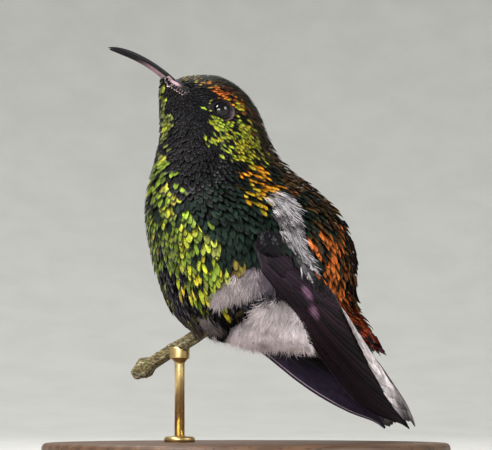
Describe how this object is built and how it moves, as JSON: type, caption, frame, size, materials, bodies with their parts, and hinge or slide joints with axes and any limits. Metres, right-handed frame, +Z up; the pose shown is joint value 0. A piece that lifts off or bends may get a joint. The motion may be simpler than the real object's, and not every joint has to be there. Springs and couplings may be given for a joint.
{
  "type": "hummingbird model on a display stand",
  "caption": "Life-size still model of a male coppery-headed emerald hummingbird perched on a short cut twig, held over a round wooden base by a rod.",
  "frame": {"origin": "middle of the round base's underside, on the surface it stands on", "axes": "+Z up, the bird's trunk faces -Y, the bird's left side is +X"},
  "size_m": [0.06, 0.06, 0.061],
  "materials": {
    "bill_horn": "satin",
    "crown_plumage": "satin",
    "throat_plumage": "satin",
    "body_plumage": "satin",
    "downy_plumage": "matte",
    "flight_feathers": "satin",
    "tail_feathers": "satin",
    "eye": "polished",
    "foot_skin": "matte",
    "twig_bark": "matte",
    "stand_wood": "satin",
    "stand_metal": "satin"
  },
  "bodies": {
    "root": {"bill_upper": "bill_horn", "bill_lower": "bill_horn", "head": "crown_plumage", "eye_left": "eye", "eye_right": "eye", "neck": "throat_plumage", "trunk": "body_plumage", "tail_coverts": "body_plumage", "thigh_left": "downy_plumage", "thigh_right": "downy_plumage", "wing_coverts_left": "flight_feathers", "wing_coverts_right": "flight_feathers", "wing_secondaries_left": "flight_feathers", "wing_secondaries_right": "flight_feathers", "wing_primaries_left": "flight_feathers", "wing_primaries_right": "flight_feathers", "tail_central": "tail_feathers", "tail_outer_left": "tail_feathers", "tail_outer_right": "tail_feathers", "foot_left": "foot_skin", "foot_right": "foot_skin", "perch": "twig_bark", "stand_base": "stand_wood", "stand_rod": "stand_metal", "stand_collar": "stand_metal"}
  },
  "joints": []
}
